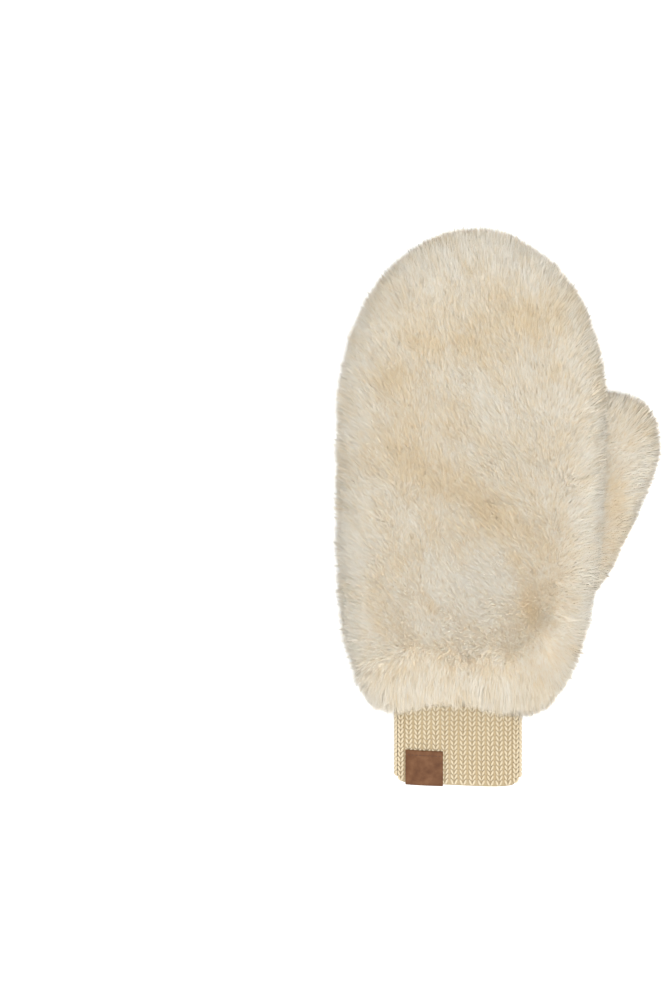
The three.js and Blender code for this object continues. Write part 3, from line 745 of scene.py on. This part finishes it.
def grow(name, roots, normals, height, lean, tone, bent, pieces, material):
    """Strands from roots: each leans away from the normal, and tufts gather at their tips."""
    count = len(roots)
    centres, shared = tuft_centres(roots, TUFT)
    gather = centres - roots
    gather -= normals * (gather * normals).sum(1, keepdims=True)
    reach = np.linalg.norm(gather, axis=1, keepdims=True)
    gather *= np.minimum(1, 1.2 / np.maximum(reach, 1e-6))
    flow = np.stack([wave_noise(roots, 16, seed) for seed in (11, 12, 13)], -1)
    ruffle = np.stack([wave_noise(roots, 5, seed) for seed in (21, 22, 23)], -1)
    stray = rng.normal(size=(count, 3))
    lean = lean + flow * 0.8 + ruffle * 0.45 * (1 + 1.2 * np.clip(tone, 0, 1))[:, None]
    lean = lean + stray * (0.85 if bent else 0.7) + (shared - 0.5) * 1.6
    lean -= normals * (lean * normals).sum(1, keepdims=True)
    uneven = 1.02 - 0.24 * rng.random(count) if bent else 1.01 - 0.4 * rng.random(count)
    if bent:
        uneven += np.where(rng.random(count) < LONG_SHARE, 0.1 + 0.3 * rng.random(count), 0)
    length = height * uneven * (1 + 0.12 * (shared[:, 0] - 0.5))
    length = length[:, None]
    tips = on_floor(roots + normals * length + lean + gather * 0.5, 0.25)
    middles = on_floor(roots + normals * length * 0.52 + lean * 0.34 + gather * 0.25, 0.25) if bent else None
    side = unit(np.cross(tips - roots, rng.normal(size=(count, 3))))
    side *= np.sign((np.cross(side, tips - roots) * normals).sum(1, keepdims=True))
    side *= (GUARD_WIDTH if bent else WOOL_WIDTH) / 2 * (0.8 + 0.4 * rng.random((count, 1)))
    shade = 0.35 + 0.6 * tone + 0.4 * (shared[:, 1] - 0.5) + 0.2 * rng.normal(size=count)
    shade = np.clip(shade, 0.02, 0.98)
    facing = normals + SHADE_STRAY * rng.normal(size=(count, 3))
    facing[:, 2] += SKY_TURN * smoothstep(normals[:, 2], -0.6, 0.4)
    facing = unit(facing)
    for k, part in enumerate(np.array_split(rng.permutation(count), pieces)):
        strand_mesh(
            f"{name}_{k + 1}" if pieces > 1 else name,
            roots[part],
            middles[part] if bent else None,
            tips[part],
            side[part],
            facing[part],
            shade[part],
            material,
        )


def finish_piece(piece, material, slot, *nodes):
    piece.data.materials.append(material)
    if nodes:
        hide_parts(*nodes)
    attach(piece, "root")


strands = strand_material()
underwool = backing_material()

half = SIDES // 2
finish_piece(
    shell("back_backing", coat_grid[RIM_STEPS:, : half + 1], hand_inner[:, : half + 1], False),
    underwool, "fur", "back_panel",
)
finish_piece(
    shell("palm_backing", coat_grid[RIM_STEPS:, half:], hand_inner[:, half:], False),
    underwool, "fur", "palm_panel",
)


def hand_coat(name, columns, guard, wool, wool_pieces, tan, hollows):
    grid, normals = coat_grid[:, columns], coat_normals[:, columns]
    for kind, count, pieces in (("guard_hair", guard, 1), ("wool", wool, wool_pieces)):
        roots, up = scatter_roots(grid, normals, count)
        free = thumb_depth(roots, -1.0) > 1
        roots, up = roots[free], up[free]
        # Tone: the pile's own tan, with the painted shade and painted light rows of the patch table.
        tone = patch_sum(roots, tan) + 0.22 * wave_noise(roots, 30, 31) + 0.16 * wave_noise(roots, 9, 32)
        near_hem = 1 - smoothstep(roots[:, 1], HEM_ROOT, HEM_ROOT + 14)
        height = HAND_PILE + (HEM_PILE - HAND_PILE) * near_hem
        height = height * (1 - patch_sum(roots, hollows) + 0.05 * wave_noise(roots, 14, 33))
        lean = np.zeros_like(roots)
        lean[:, 1] = read_table(NAP, roots[:, 1] + PARTING_WAVE * wave_noise(roots, 45, 51))[:, 1]
        fringe = near_hem * read_table(FRINGE, roots[:, 0])[:, 1]
        on_rim = np.clip(-up[:, 1], 0, 1)
        height = height + fringe * on_rim
        lean[:, 1] -= fringe * (1 - on_rim)
        grow(f"{name}_{kind}", roots, up, height, lean, tone, kind == "guard_hair", pieces, strands)


hand_coat("back", slice(0, half + 1), BACK_GUARD, BACK_WOOL, BACK_WOOL_PIECES, BACK_TAN_SHADE_AND_LIGHT, BACK_HOLLOWS)
hand_coat("palm", slice(half, SIDES + 1), PALM_GUARD, PALM_WOOL, PALM_WOOL_PIECES, PALM_TAN_AND_SHADE, [])


def thumb_backing():
    rows, columns = thumb_root.shape[:2]
    points = np.concatenate([thumb_root.reshape(-1, 3), thumb_root[:1].mean(1)])
    ring_start = np.arange(columns - 1)
    cap = np.stack([ring_start, np.full(columns - 1, rows * columns), ring_start + 1], -1)
    piece = make_piece("thumb_backing", points, grid_quads(rows, columns), cap)
    weld(piece)
    finish_piece(piece, underwool, "fur", "thumb_top", "thumb_underside")


thumb_backing()
for kind, count, pieces in (("guard_hair", THUMB_GUARD, 1), ("wool", THUMB_WOOL, THUMB_WOOL_PIECES)):
    roots, up = scatter_roots(thumb_root, thumb_normals, count)
    free = hand_depth(roots, HAND_ROOT) > 1
    roots, up = roots[free], up[free]
    # Tone includes painted shade in the crease by the hand's edge, from the thumb's patch table.
    tone = patch_sum(roots, THUMB_TAN_AND_SHADE) + 0.2 * wave_noise(roots, 24, 41) + 0.15 * wave_noise(roots, 8, 42)
    lean = np.tile([0.8, 2.4, 0.0], (len(roots), 1))
    height = THUMB_PILE * (1 - patch_sum(roots, THUMB_HOLLOWS))
    grow(f"thumb_{kind}", roots, up, height, lean, tone, kind == "guard_hair", pieces, strands)


# Cuff


def cuff_surface(turn, y, depth):
    """Points, outward normals and sideways directions on the cuff. Turn is a share of the way round."""
    angle = np.interp(np.mod(turn, 1), np.linspace(0, 1, len(cuff_ring)), cuff_ring)
    step = 0.002
    u, v = oval(angle, CUFF_WIDTH / 2, CUFF_THICKNESS / 2, CUFF_EXPONENT)
    u1, v1 = oval(np.interp(np.mod(turn + step, 1), np.linspace(0, 1, len(cuff_ring)), cuff_ring), CUFF_WIDTH / 2, CUFF_THICKNESS / 2, CUFF_EXPONENT)
    u0, v0 = oval(np.interp(np.mod(turn - step, 1), np.linspace(0, 1, len(cuff_ring)), cuff_ring), CUFF_WIDTH / 2, CUFF_THICKNESS / 2, CUFF_EXPONENT)
    sideways = unit(np.stack([u1 - u0, np.zeros_like(u), v1 - v0], -1))
    outward = np.stack([sideways[..., 2], np.zeros_like(u), -sideways[..., 0]], -1)
    point = np.stack([CUFF_SHIFT + u, np.broadcast_to(y, u.shape), CUFF_HEIGHT + v], -1)
    return point - outward * np.asarray(depth)[..., None], outward, sideways


cuff_ring = even_angles(CUFF_WIDTH / 2, CUFF_THICKNESS / 2, CUFF_EXPONENT, 720)
COURSE = 2.35
YARN = 0.68
EDGE_DROP = 0.5
LEG_SIDES = 6
LEG_RINGS = 5


def edge_height(turn):
    point, _, _ = cuff_surface(turn, 0.0, np.zeros_like(turn))
    return read_table(CUFF_EDGE, (point[..., 0] - CUFF_SHIFT) / (CUFF_WIDTH / 2))[..., 1] - EDGE_DROP


def cuff_tube():
    """The cuff's wall, ribbed outside and inside."""
    columns, rows = RIB_COUNT * 6, 12
    turn = np.linspace(0, 1, columns + 1)
    start = edge_height(turn)
    share = np.linspace(0, 1, rows)[:, None]
    y = start[None] * (1 - share) + CUFF_LENGTH * share
    wave = np.cos(2 * np.pi * RIB_COUNT * turn)[None]
    turns = np.broadcast_to(turn, y.shape)
    outer, _, _ = cuff_surface(turns, y, 1.3 - 0.2 * wave + 0 * y)
    inner, _, _ = cuff_surface(turns, y, CUFF_WALL - 0.2 + 0.25 * wave + 0 * y)
    outer[..., 1], inner[..., 1] = y, y
    points = np.concatenate([outer.reshape(-1, 3), inner.reshape(-1, 3)])
    count = outer.shape[0] * outer.shape[1]
    width = columns + 1
    low = np.arange(columns)
    high = low + (rows - 1) * width
    quads = np.concatenate([
        grid_quads(rows, width)[:, ::-1],
        grid_quads(rows, width, count),
        np.stack([low, low + 1, low + 1 + count, low + count], -1),
        np.stack([high, high + count, high + 1 + count, high + 1], -1),
    ])
    piece = make_piece("cuff_wall", points, quads, [])
    weld(piece)
    return piece


def cuff_stitches():
    """Each rib's column of stitches: two leaning legs of yarn to a stitch, from the edge up under the pile."""
    courses = int((CUFF_LENGTH - 4) / COURSE)
    rib, course, hand = [g.ravel() for g in np.meshgrid(np.arange(RIB_COUNT), np.arange(courses), (-1, 1), indexing="ij")]
    turn = (rib + 0.5) / RIB_COUNT
    start = edge_height(turn)
    height = start + 0.6 + (CUFF_LENGTH - start - 2) * (course + 0.5) / courses
    wobble = rng.normal(size=len(rib)) * 0.07
    along = np.linspace(-1, 1, LEG_RINGS)
    around = np.linspace(0, 2 * np.pi, LEG_SIDES, endpoint=False)
    side = 1.06 + 0.62 * along - 0.05 * along**2
    lift = 0.32 * (1 - along**2) + 0.1 * along
    up = 0.62 * COURSE * along
    thick = YARN * np.sqrt(np.maximum(1 - (np.abs(along) * 0.9) ** 3, 0.04))
    point, outward, sideways = cuff_surface(turn, height, np.full(len(rib), 0.55))
    x = hand[:, None, None] * (side[None, :, None] + wobble[:, None, None]) + (thick[:, None] * np.cos(around))[None]
    z = lift[None, :, None] + (thick[:, None] * np.sin(around))[None]
    y = up[None, :, None] + 0 * x
    place = (
        point[:, None, None]
        + sideways[:, None, None] * x[..., None]
        + outward[:, None, None] * z[..., None]
        + np.array([0, 1, 0]) * y[..., None]
    )
    per = LEG_RINGS * LEG_SIDES
    i, j = [g.ravel() for g in np.meshgrid(np.arange(LEG_RINGS - 1), np.arange(LEG_SIDES), indexing="ij")]
    a = i * LEG_SIDES + j
    b = i * LEG_SIDES + (j + 1) % LEG_SIDES
    tube = np.stack([a, b, b + LEG_SIDES, a + LEG_SIDES], -1)
    k = np.arange(1, LEG_SIDES - 1)
    caps = np.concatenate([
        np.stack([0 * k, k + 1, k], -1),
        np.stack([0 * k, k, k + 1], -1) + per - LEG_SIDES,
    ])
    first = np.arange(len(rib)) * per
    quads = (first[:, None, None] + tube[None]).reshape(-1, 4)
    triangles = (first[:, None, None] + caps[None]).reshape(-1, 3)
    return make_piece("cuff_stitches", place.reshape(-1, 3), quads, triangles)


# The wall shows in the recesses between the ribs. Its tint darkens it there as painted shade.
finish_piece(cuff_tube(), knit_material("cuff_purl_painted_shade", (0.72, 0.67, 0.59, 1)), "knit", "knit_cuff")
finish_piece(cuff_stitches(), knit_material("cuff_yarn", (1, 1, 1, 1)), "knit")

# Tab

TAB_WIDTH = 19.5
TAB_FRONT = 16.8
TAB_BACK = 13
TAB_THICKNESS = 1.1
TAB_CLEARANCE = 0.35
TAB_PLACE = -0.27
TAB_TURN = 0.3


def tab_path(offset, steps=14):
    """The strip's path on one of its faces: up from the cuff's edge, and depth behind its outside."""
    fold = np.linspace(0, np.pi, steps)
    half = CUFF_WALL / 2
    up = np.concatenate([np.linspace(TAB_FRONT, 0.4, 16), -(offset + 0.1) * np.sin(fold), np.linspace(0.4, TAB_BACK, 8)])
    depth = np.concatenate([np.full(16, -offset), half - (half + offset) * np.cos(fold), np.full(8, CUFF_WALL + offset)])
    return up, depth


def tab_point(x, up, depth):
    """A place on the tab: x from its middle, up from the cuff's edge and depth behind the cuff's outside."""
    x = TAB_PLACE * CUFF_WIDTH + x
    share = np.clip(x / (CUFF_WIDTH / 2 - depth), -1, 1)
    height = (CUFF_THICKNESS / 2 - depth) * (1 - np.abs(share) ** CUFF_EXPONENT) ** (1 / CUFF_EXPONENT)
    edge = read_table(CUFF_EDGE, x / (CUFF_WIDTH / 2))[..., 1]
    tilt = (x - TAB_PLACE * CUFF_WIDTH) * math.tan(math.radians(TAB_TURN))
    return np.stack([CUFF_SHIFT + x, edge + up + tilt, CUFF_HEIGHT + height], -1)


def tab_strip():
    """The folded strip, as a rounded section swept along its path."""
    round_ = 0.38
    half_width, half_thick = TAB_WIDTH / 2, TAB_THICKNESS / 2
    corner = np.linspace(0, np.pi / 2, 5)
    section = []
    for k, (sx, sz) in enumerate(((1, 1), (-1, 1), (-1, -1), (1, -1))):
        turn = corner + k * np.pi / 2
        section.append(np.stack([sx * (half_width - round_) + round_ * np.cos(turn), sz * (half_thick - round_) + round_ * np.sin(turn)], -1))
        if k in (0, 2):
            flat = np.linspace(1, -1, 14)[1:-1, None] * (1 if k == 0 else -1)
            section.append(np.concatenate([flat * (half_width - round_), np.full_like(flat, sz * half_thick)], -1))
    section = np.concatenate(section)
    rings = []
    for x, z in section:
        up, depth = tab_path(TAB_CLEARANCE + half_thick + z)
        rings.append(tab_point(np.full_like(up, x), up, depth))
    grid = np.stack(rings, 1)
    grid = np.concatenate([grid, grid[:, :1]], 1)
    rows, columns = grid.shape[:2]
    points = np.concatenate([grid.reshape(-1, 3), grid[:1].mean(1), grid[-1:].mean(1)])
    low = np.arange(columns - 1)
    high = low + (rows - 1) * columns
    caps = np.concatenate([
        np.stack([low, low + 1, np.full(columns - 1, rows * columns)], -1),
        np.stack([high + 1, high, np.full(columns - 1, rows * columns + 1)], -1),
    ])
    piece = make_piece("leather_tab_strip", points, grid_quads(rows, columns), caps)
    weld(piece)
    return piece


def tab_stitches():
    """A row of thread stitches that holds the tab's top."""
    points, quads, triangles = [], [], []
    count, sides, rings = 9, 6, 7
    for k in range(count):
        middle = (k - (count - 1) / 2) * (TAB_WIDTH - 3.2) / (count - 1)
        turn = np.linspace(-1, 1, rings)
        around = np.linspace(0, 2 * np.pi, sides, endpoint=False)
        lift = TAB_CLEARANCE + TAB_THICKNESS + 0.16 * np.sqrt(np.maximum(1 - turn**2, 0)) - 0.08
        radius = 0.2 * np.sqrt(np.maximum(1 - (turn * 0.9) ** 2, 0.1))
        x = middle + turn[:, None] * 0.72 + 0 * around
        up = TAB_FRONT - 2.6 + radius[:, None] * np.cos(around)
        depth = -(lift[:, None] + radius[:, None] * np.sin(around))
        first = sum(len(p) for p in points)
        points.append(tab_point(x, up, depth).reshape(-1, 3))
        for i in range(rings - 1):
            for j in range(sides):
                a, b = first + i * sides + j, first + i * sides + (j + 1) % sides
                quads.append((a, b, b + sides, a + sides))
        for j in range(1, sides - 1):
            end = first + (rings - 1) * sides
            triangles += [(first, first + j + 1, first + j), (end, end + j, end + j + 1)]
    return make_piece("leather_tab_thread", np.concatenate(points), quads, triangles)


finish_piece(tab_strip(), leather_material(), "leather", "leather_tab")
finish_piece(tab_stitches(), plain_material("tab_thread", srgb(92, 62, 44), 0.7), "leather")

# Floor, light and camera
MM_A_PIXEL = 0.52
PHOTO_WIDTH, PHOTO_HEIGHT = 667, 1001
PHOTO_CENTRE_LINE = 469.5
PHOTO_CUFF_EDGE = 786
LENS = 180
SENSOR = 36
OBJECT_HEIGHT = 34

floor_mesh = bpy.data.meshes.new("floor")
reach = 4.0
floor_mesh.from_pydata([(-reach, -reach, 0), (reach, -reach, 0), (reach, reach, 0), (-reach, reach, 0)], [], [(0, 1, 2, 3)])
floor = bpy.data.objects.new("floor", floor_mesh)
bpy.context.scene.collection.objects.link(floor)
floor_material, _, _, floor_shader, _ = new_material("floor")
floor_shader.inputs["Base Color"].default_value = (0.93, 0.93, 0.93, 1)
floor_shader.inputs["Roughness"].default_value = 0.9
floor_shader.inputs["Emission Color"].default_value = (1, 1, 1, 1)
floor_shader.inputs["Emission Strength"].default_value = 0.25
floor_mesh.materials.append(floor_material)

world = bpy.data.worlds.new("studio")
world.use_nodes = True
world.node_tree.nodes["Background"].inputs["Color"].default_value = (1.0, 0.98, 0.94, 1)
world.node_tree.nodes["Background"].inputs["Strength"].default_value = 0.6
bpy.context.scene.world = world


def sun_light(name, direction, spread, power):
    data = bpy.data.lights.new(name, "SUN")
    data.angle = math.radians(spread)
    data.energy = power
    light = bpy.data.objects.new(name, data)
    light.rotation_euler = (-Vector(direction)).to_track_quat("-Z", "Y").to_euler()
    bpy.context.scene.collection.objects.link(light)


sun_light("key", (0.03, -0.05, 1.0), 30, 3.4)

x_centre = (PHOTO_WIDTH / 2 - PHOTO_CENTRE_LINE) * MM_A_PIXEL
y_centre = (PHOTO_CUFF_EDGE - PHOTO_HEIGHT / 2) * MM_A_PIXEL
distance = PHOTO_HEIGHT * MM_A_PIXEL * LENS / SENSOR
camera_data = bpy.data.cameras.new("camera")
camera_data.lens = LENS
camera_data.sensor_width = SENSOR
camera = bpy.data.objects.new("camera", camera_data)
camera.location = to_row([x_centre, y_centre, OBJECT_HEIGHT + distance])
bpy.context.scene.collection.objects.link(camera)
bpy.context.scene.camera = camera
bpy.context.scene.view_settings.view_transform = "Standard"
